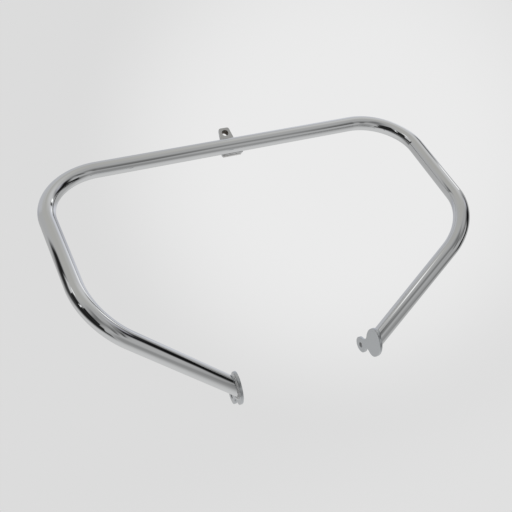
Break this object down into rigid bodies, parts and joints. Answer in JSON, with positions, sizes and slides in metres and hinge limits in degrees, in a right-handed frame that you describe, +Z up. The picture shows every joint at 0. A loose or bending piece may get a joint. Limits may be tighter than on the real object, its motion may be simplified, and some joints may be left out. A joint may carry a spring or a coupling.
{
  "type": "motorcycle crash bars",
  "caption": "Chrome-plated engine guard bent from one round steel tube, with a drilled tab at the top and a lug plate closing each end, to be bolted in front of a motorcycle engine.",
  "frame": {"origin": "middle of the upper bolt hole, in the plane where its spacer seats on the motorcycle", "axes": "+X across the motorcycle towards the rider's left, -Y forward, +Z up, with the bar as it stands when fitted"},
  "size_m": [0.8302, 0.2859, 0.5297],
  "materials": {
    "tube_chrome": "polished chrome plate",
    "bracket_chrome": "chrome plate over cut steel plate",
    "plate_chrome": "satin chrome plate over cut steel plate",
    "weld_chrome": "chrome plate over rippled weld beads"
  },
  "bodies": {
    "root": {"main_tube": "tube_chrome", "centre_bracket": "bracket_chrome", "centre_spacer": "bracket_chrome", "centre_weld_upper": "weld_chrome", "centre_weld_lower": "weld_chrome", "spacer_weld": "weld_chrome", "left_end_plate": "plate_chrome", "right_end_plate": "plate_chrome", "left_end_weld": "weld_chrome", "right_end_weld": "weld_chrome"}
  },
  "joints": []
}
